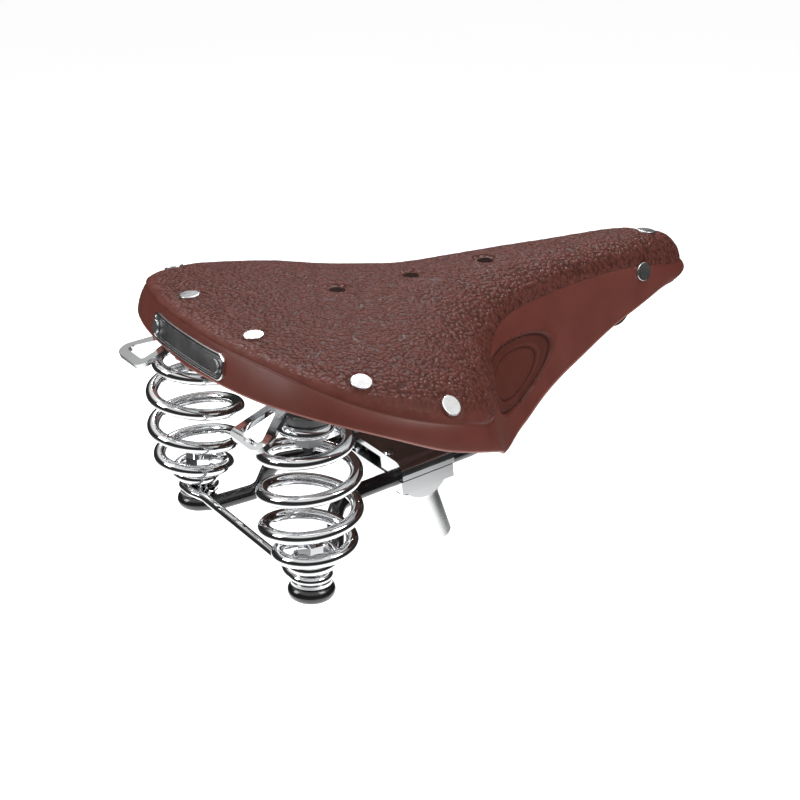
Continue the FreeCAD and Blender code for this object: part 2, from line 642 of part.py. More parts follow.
def make_badge():
    """A curved name plate with rounded corners, left blank."""
    skirt = slice(CROWN_STEPS, CROWN_STEPS + SKIRT_STEPS + 1)
    layer = solid_between([row[skirt] for row in both_sides(leather_grid(-BADGE_THICKNESS, 0, 3), True)],
                          [row[skirt] for row in both_sides(leather_grid(0.0, 0, 3), True)])
    half_length = 0.5 * BADGE_LENGTH
    half_height = 0.5 * BADGE_HEIGHT
    outline = box(-130, -80, -half_length, half_length, BADGE_Z - half_height, BADGE_Z + half_height)
    corners = [e for e in outline.Edges if e.BoundBox.YLength < 0.01 and e.BoundBox.ZLength < 0.01]
    outline = outline.makeFillet(BADGE_CORNER, corners)
    return only_solid(layer.common(outline))


def make_brackets():
    """Angle-shaped hangers, open to the rear and outwards, between the cantle plate and each spring."""
    above = solid_between(both_sides(leather_grid(-14.0, 0, CANTLE_STATIONS), True),
                          both_sides(leather_grid(plate_top + 0.6, 0, CANTLE_STATIONS), True))
    wall = 2.0
    back = SPRING_X - 6.0
    front = SPRING_X + 12.0
    pad_top = PAD_Z + PAD_THICKNESS
    hangers = []
    for side in (-1, 1):
        y = side * SPRING_Y
        inner = y - side * 13.0
        width = sorted((inner, y + side * 9.0))
        pad = cylinder(PAD_RADIUS, vec(SPRING_X, y, PAD_Z), vec(SPRING_X, y, pad_top))
        pad = pad.fuse(box(back, front, *width, PAD_Z, pad_top))
        inner_wall = box(back, front, *sorted((inner, inner + side * wall)), PAD_Z, 99.0)
        front_wall = box(front - wall, front, *width, PAD_Z, 99.0)
        hole = cylinder(BOLT_RADIUS, vec(SPRING_X, y, PAD_Z - 5.0), vec(SPRING_X, y, PAD_Z + 5.0))
        hangers.append(only_solid(fused([pad, inner_wall, front_wall]).cut(above).cut(hole)))
    return hangers


os.makedirs("parts", exist_ok=True)

# ---- leather top, cantle plate and nose piece -----------------------------------------------------
leather = make_leather()
rear_points, nose_points, badge_points = rivet_points()
plate_top = LEATHER_THICKNESS + PLATE_GAP
plate_bottom = plate_top + PLATE_THICKNESS
outer_band = [row[PLATE_BAND] for row in both_sides(leather_grid(plate_top, 0, CANTLE_STATIONS), True)]
inner_band = [row[PLATE_BAND] for row in both_sides(leather_grid(plate_bottom, 0, CANTLE_STATIONS), True)]
cantle = solid_between(outer_band, inner_band)
brackets = make_brackets()
cantle = fused([cantle] + brackets)

nose_top = LEATHER_THICKNESS + NOSE_PLATE_GAP
nose_bottom = nose_top + PLATE_THICKNESS
outer_nose = [row[PLATE_BAND] for row in both_sides(leather_grid(nose_top, NOSE_STATION), False)]
inner_nose = [row[PLATE_BAND] for row in both_sides(leather_grid(nose_bottom, NOSE_STATION), False)]
nose_piece = solid_between(outer_nose, inner_nose)
web, tension_bolt, tension_nut = make_tensioner()
nose_piece = fused([nose_piece, web])

for base, out in rear_points:
    hole = cylinder(RIVET_SHANK_RADIUS, base - out * 12.0, base + out * 3.0)
    leather = leather.cut(hole)
    cantle = cantle.cut(hole)
for base, out in nose_points:
    hole = cylinder(RIVET_SHANK_RADIUS, base - out * 12.0, base + out * 3.0)
    leather = leather.cut(hole)
    nose_piece = nose_piece.cut(hole)
for x in VENT_X:
    leather = leather.cut(cylinder(VENT_RADIUS, vec(x, 0, 80.0), vec(x, 0, 110.0)))
badge = make_badge()
for base, out in badge_points:
    hole = cylinder(BADGE_RIVET_SHANK_RADIUS, base - out * 12.0, base + out * 3.0)
    leather = leather.cut(hole)
    badge = badge.cut(hole)

rear_rivets = [rivet(base, out, plate_bottom) for base, out in rear_points]
nose_rivets = [rivet(base, out, nose_bottom) for base, out in nose_points]
badge_rivets = []
for base, out in badge_points:
    head = cylinder(2.8, base + out * BADGE_THICKNESS, base + out * (BADGE_THICKNESS + 0.9))
    shank = cylinder(BADGE_RIVET_SHANK_RADIUS, base - out * (LEATHER_THICKNESS - 0.8),
                     base + out * (BADGE_THICKNESS + 0.1))
    badge_rivets.append(only_solid(fused([head, shank])))
for solids in (rear_rivets, nose_rivets):
    for one in solids:
        leather = leather.cut(one)
for one in rear_rivets:
    cantle = cantle.cut(one)
for one in nose_rivets:
    nose_piece = nose_piece.cut(one)
save("leather_top", only_solid(leather))
save("cantle_plate", only_solid(cantle))
save("nose_piece", only_solid(nose_piece))
save("name_badge", badge)
save("badge_rivets", *badge_rivets)
save("rear_rivets", *rear_rivets)
save("nose_rivets", *nose_rivets)
save("tension_bolt", tension_bolt)
save("tension_nut", tension_nut)

# ---- rails, shackle, springs and tie rod ----------------------------------------------------------
left_rail = make_rail()
right_rail = mirrored(left_rail)
save("left_rail", left_rail)
save("right_rail", right_rail)
save("shackle", make_shackle((left_rail, right_rail)))
pin_x, pin_z = PIVOT
pin_end = SHACKLE_HALF_WIDTH + 1.0
save("shackle_pin", fused([
    cylinder(PIN_RADIUS, vec(pin_x, -pin_end, pin_z), vec(pin_x, pin_end, pin_z)),
    cylinder(4.6, vec(pin_x, -pin_end, pin_z), vec(pin_x, -SHACKLE_HALF_WIDTH, pin_z)),
    cylinder(4.6, vec(pin_x, SHACKLE_HALF_WIDTH, pin_z), vec(pin_x, pin_end, pin_z)),
]))
save("left_spring", make_spring(1))
save("right_spring", make_spring(-1))
save("tie_rod", make_tie_rod())
top_hardware = [make_top_hardware(side) for side in (-1, 1)]
bottom_hardware = [make_bottom_hardware(side) for side in (-1, 1)]
for k, name in enumerate(("spring_top_bolts", "spring_top_nuts", "spring_top_washers")):
    save(name, *[pieces[k] for pieces in top_hardware])
for k, name in enumerate(("spring_bottom_bolts", "spring_bottom_nuts", "rail_ring_washers")):
    save(name, *[pieces[k] for pieces in bottom_hardware])
left_loop = make_bag_loop()
save("left_bag_loop", left_loop)
save("right_bag_loop", mirrored(left_loop))

# ---- clamp and post head --------------------------------------------------------------------------
lower, upper, screws, pivot_bolt, pivot_nut, pivot_washers = make_clamp()
save("lower_cradle", only_solid(in_clamp(lower)))
save("upper_cradle", only_solid(in_clamp(upper)))
save("clamp_screws", *[in_clamp(one) for one in screws])
save("pivot_bolt", in_clamp(pivot_bolt))
save("pivot_nut", in_clamp(pivot_nut))
save("pivot_washers", *[in_clamp(one) for one in pivot_washers])
save("post_head", make_post_head())
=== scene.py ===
import math

import bmesh
import bpy
import numpy as np
from mathutils import Euler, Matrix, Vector, noise


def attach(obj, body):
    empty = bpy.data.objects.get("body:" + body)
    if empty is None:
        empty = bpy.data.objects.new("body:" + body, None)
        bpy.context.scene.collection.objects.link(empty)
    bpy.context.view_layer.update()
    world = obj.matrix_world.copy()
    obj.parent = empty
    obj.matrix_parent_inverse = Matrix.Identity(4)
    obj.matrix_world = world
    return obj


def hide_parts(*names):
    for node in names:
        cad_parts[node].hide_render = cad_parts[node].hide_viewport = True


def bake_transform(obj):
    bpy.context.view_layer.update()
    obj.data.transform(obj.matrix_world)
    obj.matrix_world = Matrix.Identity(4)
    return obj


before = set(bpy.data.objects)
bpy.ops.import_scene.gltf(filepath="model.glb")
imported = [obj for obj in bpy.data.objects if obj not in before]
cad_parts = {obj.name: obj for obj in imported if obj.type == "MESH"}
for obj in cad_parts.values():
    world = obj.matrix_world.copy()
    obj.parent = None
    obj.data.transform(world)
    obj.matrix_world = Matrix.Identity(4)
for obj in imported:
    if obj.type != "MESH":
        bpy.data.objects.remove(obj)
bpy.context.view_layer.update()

# The visual model of a sprung leather bicycle saddle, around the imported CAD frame.
# Lengths in the tables are millimetres in the row frame; MM turns them into metres.
MM = 0.001

# ---- the leather's shape, the same stations as the CAD solid --------------------------------------
# Half outline from the middle of the rear edge round to the nose tip.
# Each station: spine x, z; shoulder x, y, z; lower edge x, y, z; roundness power; skirt bulge.
STATIONS = np.array([
    (-77.2, 100.4, -108.2, 0.0, 97.4, -110.2, 0.0, 80.8, 2.3, 0.8),
    (-76.2, 100.4, -107.2, 25.0, 96.9, -109.2, 27.0, 82.4, 2.3, 0.8),
    (-74.2, 100.6, -102.7, 47.0, 95.9, -106.2, 49.0, 83.0, 2.3, 0.8),
    (-69.2, 101.0, -94.7, 70.0, 92.9, -98.2, 71.5, 82.7, 2.4, 0.8),
    (-61.2, 101.4, -81.7, 86.0, 87.4, -84.7, 88.0, 80.0, 2.4, 0.8),
    (-51.2, 101.4, -65.7, 95.0, 81.9, -67.2, 97.0, 74.2, 2.3, 0.8),
    (-41.2, 101.4, -51.2, 98.0, 77.7, -51.7, 100.0, 68.2, 2.1, 0.8),
    (-31.2, 101.4, -38.2, 97.0, 74.0, -37.2, 99.5, 63.9, 2.0, 0.8),
    (-23.2, 101.4, -28.2, 92.5, 70.2, -25.2, 94.5, 59.4, 1.9, 0.8),
    (-16.2, 101.4, -20.2, 86.0, 68.1, -16.2, 87.2, 54.4, 1.85, 0.6),
    (-10.2, 101.4, -14.2, 79.0, 67.6, -9.7, 79.0, 49.3, 1.85, 0.4),
    (-5.2, 101.4, -9.2, 72.0, 68.6, -3.7, 73.0, 47.2, 1.85, 0.4),
    (0.8, 101.4, -2.7, 60.5, 71.9, 3.8, 66.0, 46.4, 1.85, 0.6),
    (8.8, 101.4, 3.8, 49.0, 77.6, 12.8, 58.0, 46.4, 1.85, 0.8),
    (16.8, 101.4, 11.3, 40.5, 82.6, 22.8, 50.0, 46.4, 1.9, 0.8),
    (25.8, 101.4, 21.8, 33.8, 86.6, 33.3, 41.8, 47.0, 2.0, 0.8),
    (38.8, 101.4, 37.8, 28.5, 88.4, 46.8, 33.0, 49.2, 2.2, 0.8),
    (54.8, 101.4, 54.8, 24.5, 89.2, 58.8, 28.0, 52.9, 2.4, 0.6),
    (72.8, 101.2, 72.8, 21.0, 90.0, 72.8, 24.8, 58.9, 2.5, 0.5),
    (88.8, 101.1, 88.8, 19.3, 90.4, 87.8, 22.0, 65.6, 2.5, 0.5),
    (102.8, 101.0, 102.8, 18.4, 89.9, 101.8, 19.8, 70.7, 2.5, 0.5),
    (113.8, 100.7, 115.8, 16.6, 88.0, 113.8, 17.4, 74.6, 2.4, 0.8),
    (118.8, 100.0, 128.8, 12.5, 85.7, 125.8, 13.0, 76.6, 1.9, 1.5),
    (121.8, 99.3, 138.3, 6.8, 84.2, 135.8, 7.0, 75.7, 1.9, 3.0),
    (122.8, 99.0, 142.8, 0.0, 83.4, 140.3, 0.0, 74.7, 1.9, 4.0),
])
STATION_Y = [3, 6]            # the two columns that are zero on the middle plane
LEATHER_THICKNESS = 5.0
LEAST_DROP = 0.6              # share of the crown's fall that the inner skin keeps
ROWS = 380                    # sections round each half of the outline
CROWN = 96                    # steps from the spine to the shoulder
SKIRT = 44                    # steps from the shoulder to the lower edge

RIM_STEPS = 5                 # steps over the rounded lower edge
RIM_ROUND = 1.2
GRAIN_HEIGHT = 0.16
LUMPS = ((3.2, 1.0), (1.7, 0.6))       # size of the soft lumps in the grain, and share of the height
CREASE_DEPTH = 0.35
CREASE_WIDTH = 0.6
REAR_FADE_END = -14.0                  # the grain fades softly behind this x
REAR_FADE_LEAD = 20.0                  # length over which the fade sets in
REAR_FADE_WIDTH = 13.0

REAR_RIVETS = ((-94.0, 28.0), (-76.5, 80.0), (-46.3, 95.0))     # x and |y|
NOSE_SIDE_RIVET = (107.6, 18.3, 87.3)
NOSE_TOP_RIVET_X = 123.0
VENTS = (-40.0, -4.0, 34.0)
VENT_RADIUS = 3.6
VENT_SIDES = 32
VENT_CUT_BELOW = 12.0                  # how far the cut reaches below and above the leather's outer face
VENT_CUT_ABOVE = 6.0
REAR_RIVET_DIMPLE = (7.0, 4.5, 0.6)    # radius, radius of the flat middle, depth
NOSE_RIVET_DIMPLE = (6.5, 4.5, 0.5)
VENT_DIMPLE = (6.4, 3.4, 1.2)

OVAL_CENTRE = (18.5, 47.9, 67.2)       # embossed oval on each flank
OVAL_ALONG = (0.797, -0.604, 0.005)
OVAL_DOWN = (0.203, 0.260, -0.944)
OVAL_HALF_LENGTH = 39.0
OVAL_HALF_HEIGHT = 13.5
OVAL_LINES = ((0.97, 0.035, 0.45), (0.88, 0.035, -0.60), (0.66, 0.03, 0.25), (0.60, 0.03, -0.40))
OVAL_REACH = 14.0                      # the emboss ends this far off the oval's plane
OVAL_SHADES = ((0.56, 0.72), (0.60, 0.35), (0.66, 0.9), (0.70, 0.66),
               (0.84, 0.66), (0.88, 0.25), (0.93, 0.8), (1.0, 1.0))

BADGE_LENGTH = 62.0
BADGE_HEIGHT = 10.6
BADGE_Z = 89.4
BADGE_CORNER = 3.8
BADGE_MIDDLE_INSET = 1.5               # the field's middle line stops this far inside the corners
# Inset from the outline, height above the leather, and the finish out to the next ring.
RIM, FIELD = 0, 1
BADGE_PROFILE = (
    (0.0, -0.3, RIM), (0.0, 1.1, RIM), (0.15, 1.35, RIM), (0.4, 1.45, RIM),
    (0.8, 1.45, RIM), (1.0, 1.35, RIM), (1.1, 1.0, FIELD), (1.75, 1.0, RIM),
    (1.8, 1.1, RIM), (2.0, 1.1, RIM), (2.05, 1.0, FIELD), (3.5, 1.0, FIELD),
)

SPRING_AXIS = (-83.0, 50.5)
SPRING_WIRE = 5.2
SPRING_START = {-1: 241.0, 1: 245.0}   # angle of each spring at the start turn
SPRING_START_TURN = 0.6
SPRING_STEPS = 430
SPRING_SIDES = 28
# Each row: turn, radius of the coil, height.
SPRING_TURNS = np.array([
    (0.15, 7.3, 7.45), (0.6, 7.5, 8.2), (1.0, 10.2, 10.6), (1.3, 12.8, 12.9), (1.6, 15.0, 15.4),
    (2.0, 17.4, 19.4), (2.6, 18.7, 28.2), (3.1, 18.8, 35.8), (3.6, 18.7, 43.7), (4.1, 18.5, 51.8),
    (4.6, 17.6, 59.4), (4.9, 15.0, 63.0), (5.2, 11.4, 65.6), (5.5, 8.2, 66.9), (6.0, 7.4, 66.9),
])

FLOOR_Z = -0.14                        # metres, like the lights and the camera
FLOOR_HALF_SIZE = 6.0
CAMERA_LENS = 83.39
CAMERA_SENSOR = 36.0
CAMERA_PLACE = (-0.40285, -0.62896, 0.34964)
CAMERA_TILT = 67.63
CAMERA_TURN = -32.02
# Height on the studio's sphere, from below to above, and the grey that polished pieces mirror there.
STUDIO_BANDS = ((0.0, 0.02), (0.30, 0.03), (0.44, 0.12), (0.58, 0.8), (0.76, 0.95), (0.97, 0.25))


# ---- geometry helpers -----------------------------------------------------------------------------
def natural_spline(knots, values, at):
    """Natural cubic spline through rows of values, evaluated at the points in at."""
    n = len(knots)
    gaps = np.diff(knots)
    system = np.eye(n)
    right = np.zeros(values.shape)
    for i in range(1, n - 1):
        system[i, i - 1:i + 2] = gaps[i - 1], 2.0 * (gaps[i - 1] + gaps[i]), gaps[i]
        right[i] = 6.0 * ((values[i + 1] - values[i]) / gaps[i] - (values[i] - values[i - 1]) / gaps[i - 1])
    bend = np.linalg.solve(system, right)
    k = np.clip(np.searchsorted(knots, at, side="right") - 1, 0, n - 2)
    gap = gaps[k][:, None]
    left = (at - knots[k])[:, None]
    rest = gap - left
    return ((bend[k] * rest ** 3 + bend[k + 1] * left ** 3) / (6.0 * gap)
            + (values[k] / gap - bend[k] * gap / 6.0) * rest
            + (values[k + 1] / gap - bend[k + 1] * gap / 6.0) * left)


def new_mesh(name, points, faces, materials, slots=None):
    mesh = bpy.data.meshes.new(name)
    mesh.from_pydata([tuple(p) for p in points], [], faces)
    mesh.validate()
    for material in materials:
        mesh.materials.append(material)
    if slots is not None:
        mesh.polygons.foreach_set("material_index", slots)
    mesh.polygons.foreach_set("use_smooth", [True] * len(mesh.polygons))
    obj = bpy.data.objects.new(name, mesh)
    bpy.context.scene.collection.objects.link(obj)
    return obj


def tube(name, path, radius, sides, material):
    """A round wire along a path, with domed ends."""
    path = np.asarray(path)
    along = np.gradient(path, axis=0)
    along /= np.linalg.norm(along, axis=1)[:, None]
    side = np.cross(along[0], (0.0, 0.0, 1.0))
    angles = np.linspace(0.0, 2.0 * math.pi, sides, endpoint=False)
    points = []
    for i, centre in enumerate(path):
        side = side - along[i] * side.dot(along[i])
        side /= np.linalg.norm(side)
        other = np.cross(along[i], side)
        ring = np.outer(np.cos(angles), side) + np.outer(np.sin(angles), other)
        points.append(centre + ring * radius)
    # Two shrinking rings close each end.
    for end, way in ((0, -1.0), (-1, 1.0)):
        rings = []
        for shrink, push in ((0.8, 0.35), (0.35, 0.55)):
            ring = path[end] + (points[end] - path[end]) * shrink + along[end] * way * radius * push
            rings.append(ring)
        if end == 0:
            points = rings[::-1] + points
        else:
            points = points + rings
    rows = len(points)
    faces = []
    for i in range(rows - 1):
        for j in range(sides):
            k = (j + 1) % sides
            faces.append((i * sides + j, i * sides + k, (i + 1) * sides + k, (i + 1) * sides + j))
    faces.append(tuple(range(sides - 1, -1, -1)))
    faces.append(tuple((rows - 1) * sides + j for j in range(sides)))
    return new_mesh(name, np.concatenate(points), faces, [material])


# ---- materials ------------------------------------------------------------------------------------
class Nodes:
    """Short calls for building one procedural material."""

    def __init__(self, name, material=None):
        self.material = material or bpy.data.materials.new(name)
        self.material.use_nodes = True
        self.tree = self.material.node_tree
        self.shader = self.tree.nodes["Principled BSDF"]
        self.place = self.add("ShaderNodeTexCoord").outputs["Object"]

    def add(self, kind, **settings):
        node = self.tree.nodes.new(kind)
        for key, value in settings.items():
            setattr(node, key, value)
        return node

    def link(self, source, target):
        self.tree.links.new(source, target)

    def noise(self, scale, detail=3.0, roughness=0.55, where=None):
        node = self.add("ShaderNodeTexNoise")
        node.inputs["Scale"].default_value = scale
        node.inputs["Detail"].default_value = detail
        node.inputs["Roughness"].default_value = roughness
        self.link(where or self.place, node.inputs["Vector"])
        return node.outputs["Fac"]

    def ramp(self, source, stops):
        node = self.add("ShaderNodeValToRGB")
        while len(node.color_ramp.elements) < len(stops):
            node.color_ramp.elements.new(0.5)
        for element, (position, colour) in zip(node.color_ramp.elements, stops):
            element.position = position
            element.color = (*colour, 1.0) if isinstance(colour, tuple) else (colour, colour, colour, 1.0)
        self.link(source, node.inputs["Fac"])
        return node.outputs["Color"]

    def bump(self, height, strength, distance, normal=None):
        node = self.add("ShaderNodeBump")
        node.inputs["Strength"].default_value = strength
        node.inputs["Distance"].default_value = distance
        self.link(height, node.inputs["Height"])
        if normal is not None:
            self.link(normal, node.inputs["Normal"])
        return node.outputs["Normal"]

    def set(self, **values):
        for key, value in values.items():
            self.shader.inputs[key.replace("_", " ")].default_value = value


def pebbled_leather():
    """Grained leather: uneven pebbles with painted shade in the creases between them, plainer where the grain
    attribute falls.
    """
    n = Nodes("pebbled_leather")
    wander = n.add("ShaderNodeTexNoise")
    wander.inputs["Scale"].default_value = 300.0
    wander.inputs["Detail"].default_value = 2.0
    n.link(n.place, wander.inputs["Vector"])
    warp = n.add("ShaderNodeVectorMath", operation="MULTIPLY_ADD")
    warp.inputs[1].default_value = (0.0016, 0.0016, 0.0016)
    n.link(wander.outputs["Color"], warp.inputs[0])
    n.link(n.place, warp.inputs[2])
    cells = n.add("ShaderNodeTexVoronoi", feature="SMOOTH_F1")
    cells.inputs["Scale"].default_value = 560.0
    cells.inputs["Smoothness"].default_value = 0.3
    n.link(warp.outputs["Vector"], cells.inputs["Vector"])
    pebbles = n.ramp(cells.outputs["Distance"], [(0.1, 1.0), (0.4, 0.6), (0.75, 0.0)])
    fade = n.add("ShaderNodeAttribute", attribute_name="grain").outputs["Fac"]
    broad = n.noise(140.0, 3.0)
    grain = n.noise(1600.0, 3.0, 0.6)
    colour = n.ramp(broad, [(0.3, (0.104, 0.028, 0.020)), (0.7, (0.136, 0.039, 0.030))])
    # Painted shade: the colour is multiplied darker in the creases between the pebbles, more where the grain
    # attribute is high.
    crevice_painted_shade = n.add("ShaderNodeMix", data_type="RGBA", blend_type="MULTIPLY")
    n.link(n.ramp(fade, [(0.0, 0.0), (1.0, 0.7)]), crevice_painted_shade.inputs["Factor"])
    n.link(colour, crevice_painted_shade.inputs["A"])
    n.link(n.ramp(pebbles, [(0.0, 0.3), (0.4, 0.85), (1.0, 1.0)]), crevice_painted_shade.inputs["B"])
    n.link(crevice_painted_shade.outputs["Result"], n.shader.inputs["Base Color"])
    n.link(n.ramp(broad, [(0.3, 0.42), (0.7, 0.52)]), n.shader.inputs["Roughness"])
    raised = n.add("ShaderNodeMath", operation="MULTIPLY")
    n.link(pebbles, raised.inputs[0])
    n.link(fade, raised.inputs[1])
    first = n.bump(raised.outputs["Value"], 0.9, 0.0009)
    second = n.bump(broad, 0.3, 0.0012, first)
    n.link(n.bump(grain, 0.2, 0.0002, second), n.shader.inputs["Normal"])
    n.set(Specular_IOR_Level=0.13)
    return n.material


def smooth_leather(name, dark, light, roughness):
    """Burnished leather with a fine close grain."""
    n = Nodes(name)
    broad = n.noise(60.0, 4.0)
    grain = n.noise(1700.0, 3.0, 0.65)
    n.link(n.ramp(broad, [(0.3, dark), (0.75, light)]), n.shader.inputs["Base Color"])
    n.link(n.ramp(grain, [(0.3, roughness - 0.05), (0.7, roughness + 0.08)]), n.shader.inputs["Roughness"])
    n.link(n.bump(grain, 0.22, 0.0002), n.shader.inputs["Normal"])
    n.set(Specular_IOR_Level=0.35)
    return n.material


def burnish_oval(material):
    """Darkens the pressed oval of the skirt leather and its grooves, alike on both flanks."""
    n = Nodes(material.name, material)
    parts = n.add("ShaderNodeSeparateXYZ")
    n.link(n.place, parts.inputs["Vector"])
    off_middle = n.add("ShaderNodeMath", operation="ABSOLUTE")
    n.link(parts.outputs["Y"], off_middle.inputs[0])
    folded = n.add("ShaderNodeCombineXYZ")
    n.link(parts.outputs["X"], folded.inputs["X"])
    n.link(off_middle.outputs["Value"], folded.inputs["Y"])
    n.link(parts.outputs["Z"], folded.inputs["Z"])
    offset = n.add("ShaderNodeVectorMath", operation="SUBTRACT")
    n.link(folded.outputs["Vector"], offset.inputs[0])
    offset.inputs[1].default_value = tuple(c * MM for c in OVAL_CENTRE)
    shares = n.add("ShaderNodeCombineXYZ")
    for axis, direction, half in (("X", OVAL_ALONG, OVAL_HALF_LENGTH), ("Y", OVAL_DOWN, OVAL_HALF_HEIGHT)):
        dot = n.add("ShaderNodeVectorMath", operation="DOT_PRODUCT")
        n.link(offset.outputs["Vector"], dot.inputs[0])
        dot.inputs[1].default_value = tuple(c / (half * MM) for c in direction)
        n.link(dot.outputs["Value"], shares.inputs[axis])
    reach = n.add("ShaderNodeVectorMath", operation="LENGTH")
    n.link(shares.outputs["Vector"], reach.inputs[0])
    shade = n.ramp(reach.outputs["Value"], OVAL_SHADES)
    burnished = n.add("ShaderNodeMix", data_type="RGBA", blend_type="MULTIPLY")
    burnished.inputs["Factor"].default_value = 1.0
    n.link(n.shader.inputs["Base Color"].links[0].from_socket, burnished.inputs["A"])
    n.link(shade, burnished.inputs["B"])
    n.link(burnished.outputs["Result"], n.shader.inputs["Base Color"])


def bright_metal(name, colour, low, high, bump=0.0):
    """Plated metal whose polish varies a little over the surface."""
    n = Nodes(name)
    patches = n.noise(90.0, 4.0)
    n.link(n.ramp(patches, [(0.3, low), (0.7, high)]), n.shader.inputs["Roughness"])
    shade = tuple(c * 0.93 for c in colour)
    n.link(n.ramp(patches, [(0.25, shade), (0.75, colour)]), n.shader.inputs["Base Color"])
    if bump:
        n.link(n.bump(n.noise(2200.0, 2.0), bump, 0.0001), n.shader.inputs["Normal"])
    n.set(Metallic=1.0)
    return n.material


def black_paint():
    """Glossy black paint with a clear coat, for the rails."""
    n = Nodes("rail_black")
    patches = n.noise(70.0, 3.0)
    colour = n.ramp(patches, [(0.3, (0.006, 0.006, 0.007)), (0.7, (0.012, 0.012, 0.013))])
    n.link(colour, n.shader.inputs["Base Color"])
    n.link(n.ramp(patches, [(0.3, 0.16), (0.7, 0.26)]), n.shader.inputs["Roughness"])
    n.link(n.bump(n.noise(700.0, 2.0), 0.05, 0.0002), n.shader.inputs["Normal"])
    n.set(Coat_Weight=0.6, Coat_Roughness=0.05, Specular_IOR_Level=0.6)
    return n.material


PEBBLED = pebbled_leather()
SMOOTH = smooth_leather("skirt_leather", (0.115, 0.026, 0.018), (0.145, 0.036, 0.026), 0.4)
burnish_oval(SMOOTH)
EDGE = smooth_leather("burnished_edge", (0.21, 0.070, 0.055), (0.27, 0.100, 0.080), 0.45)
# Underside: rough flesh-side leather, its colour darkened with painted shade for the hollow beneath the
# cover.
UNDERSIDE_PAINTED_SHADE = smooth_leather("leather_underside_painted_shade", (0.034, 0.014, 0.010), (0.055, 0.024, 0.017), 0.75)
CHROME = bright_metal("chrome", (0.86, 0.87, 0.88), 0.03, 0.08)
CRADLE = bright_metal("cradle_chrome", (0.8, 0.81, 0.82), 0.1, 0.17)
NICKEL = bright_metal("rivet_nickel", (0.82, 0.82, 0.82), 0.22, 0.34, 0.05)
ZINC = bright_metal("zinc_steel", (0.56, 0.57, 0.58), 0.3, 0.42, 0.12)
BADGE_RIM = bright_metal("badge_rim", (0.9, 0.9, 0.9), 0.12, 0.2)
BADGE_FIELD = bright_metal("badge_field", (0.36, 0.36, 0.37), 0.36, 0.48, 0.1)
ALLOY = bright_metal("post_alloy", (0.78, 0.79, 0.8), 0.22, 0.32, 0.08)
BLACK = black_paint()


# ---- leather top ----------------------------------------------------------------------------------
def station_rows(count):
    """Station values at count places, evenly spread along the outline."""
    steps = (np.linalg.norm(np.diff(STATIONS[:, 2:5], axis=0), axis=1)
             + np.linalg.norm(np.diff(STATIONS[:, 5:8], axis=0), axis=1))
    knots = np.concatenate([[0.0], np.cumsum(steps)])
    rows = natural_spline(knots, STATIONS, np.linspace(0.0, knots[-1], count))
    rows[0, STATION_Y] = 0.0
    rows[-1, STATION_Y] = 0.0
    return rows


def leather_grid(depth, rows, crown_steps, skirt_steps):
    """Left half of a leather layer, in millimetres: one row per section, spine to lower edge."""
    sx, sz, ex, ey, ez, lx, ly, lz, power, bulge = rows.T[:, :, None]
    out = np.stack([ex - sx, ey], axis=2)
    out /= np.linalg.norm(out, axis=2)[:, :, None]
    out_x = out[:, :, 0]
    out_y = out[:, :, 1]
    top = sz - depth
    drop = np.maximum(LEAST_DROP * (sz - ez), top - ez)
    ex, ey = ex - out_x * depth, ey - out_y * depth
    lx, ly = lx - out_x * depth, ly - out_y * depth
    angle = np.linspace(0.0, 0.5 * math.pi, crown_steps + 1)[None, :]
    reach = np.sin(angle) ** (2.0 / power)
    fall = 1.0 - np.abs(np.cos(angle)) ** (2.0 / power)
    crown = np.stack([sx + (ex - sx) * reach, ey * reach, top - drop * fall], axis=2)
    t = np.linspace(0.0, 1.0, skirt_steps + 1)[None, 1:]
    swell = 4.0 * bulge * t * (1.0 - t)
    start = top - drop
    skirt = np.stack([
        ex + (lx - ex) * t + out_x * swell,
        ey + (ly - ey) * t + out_y * swell,
        start + (lz - start) * t,
    ], axis=2)
    return np.concatenate([crown, skirt], axis=1)


def grid_normals(grid):
    """Outward unit normals of the left half grid."""
    normal = np.cross(np.gradient(grid, axis=0), np.gradient(grid, axis=1))
    flip = np.sign(normal[:, 2:CROWN // 2, 2].sum())
    normal *= flip
    normal[:, 0] = normal[:, 1]
    normal[:, 0, 1] = 0.0
    normal[0, :, 1] = 0.0
    normal[-1, :, 1] = 0.0
    return normal / np.linalg.norm(normal, axis=2)[:, :, None]


def smooth_step(x):
    """0 below 0, 1 above 1, and an even ease between."""
    x = np.clip(x, 0.0, 1.0)
    return x * x * (3.0 - 2.0 * x)


def dimple(grid, centre, radius, flat, depth):
    """A round dimple: full depth out to flat, easing out to radius."""
    distance = np.linalg.norm(grid - np.array(centre), axis=2)
    return -depth * smooth_step((radius - distance) / (radius - flat))


def nearest(grid, x, y):
    """The crown point of the grid that is nearest to x, y seen from above."""
    crown = grid[:, :CROWN]
    flat = np.hypot(crown[:, :, 0] - x, crown[:, :, 1] - y)
    return crown[np.unravel_index(np.argmin(flat), flat.shape)]


def undulation(points):
    """Soft lumps of a few millimetres in the grained top, for every point of an array."""
    shape = points.shape[:-1]
    flat = points.reshape(-1, 3)
    values = [sum(share * noise.noise(Vector(p) / size) for size, share in LUMPS) for p in flat]
    return np.array(values).reshape(shape)


def embossed_oval(grid):
    """A pressed oval on the flank: a raised rim with a groove inside it, and a smaller pair inside that."""
    offset = grid - np.array(OVAL_CENTRE)
    off_plane = np.abs(offset @ np.cross(OVAL_ALONG, OVAL_DOWN))
    across = offset @ np.array(OVAL_ALONG) / OVAL_HALF_LENGTH
    down = offset @ np.array(OVAL_DOWN) / OVAL_HALF_HEIGHT
    ring = np.hypot(across, down)
    height = sum(lift * np.exp(-((ring - place) / width) ** 2) for place, width, lift in OVAL_LINES)
    columns = np.arange(grid.shape[1])[None, :]
    below_crease = smooth_step((columns - CROWN - 1.0) / 3.0)
    return height * below_crease * smooth_step((OVAL_REACH - off_plane) / 3.0)


